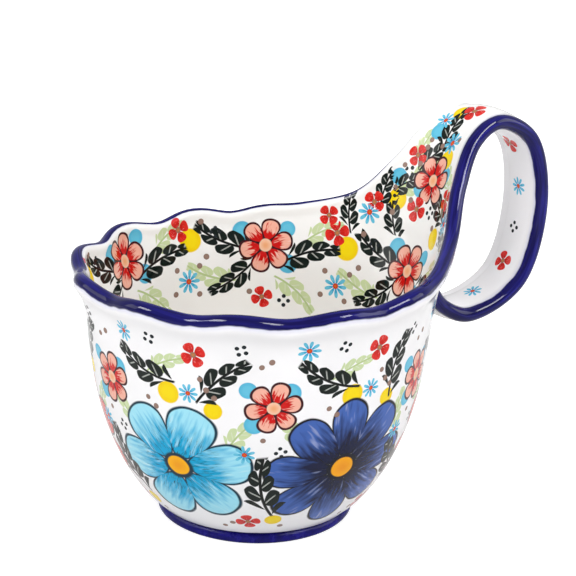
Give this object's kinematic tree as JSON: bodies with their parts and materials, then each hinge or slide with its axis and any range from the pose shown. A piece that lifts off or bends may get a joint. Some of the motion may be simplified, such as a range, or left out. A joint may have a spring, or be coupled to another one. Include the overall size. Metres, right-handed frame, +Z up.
{
  "type": "soup bowl with handle",
  "caption": "Glazed stoneware soup bowl with a wavy rolled rim and a strap handle that sweeps up from the wall, loops over and lands below the rim.",
  "frame": {"origin": "on the table, under the middle of the whole outline seen from above", "axes": "+Z up, +X from the bowl towards the loop of the handle, +Y to the left of the handle"},
  "size_m": [0.18, 0.1278, 0.1338],
  "materials": {
    "painted_white_glaze": "glossy clear glaze over a white body painted with flowers and leaves",
    "cobalt_glaze": "glossy cobalt blue glaze"
  },
  "bodies": {
    "root": {"bowl_body": "painted_white_glaze", "foot_ring": "cobalt_glaze", "rim_bead": "cobalt_glaze", "handle_strap": "painted_white_glaze", "handle_bead_right": "cobalt_glaze", "handle_bead_left": "cobalt_glaze"}
  },
  "joints": []
}
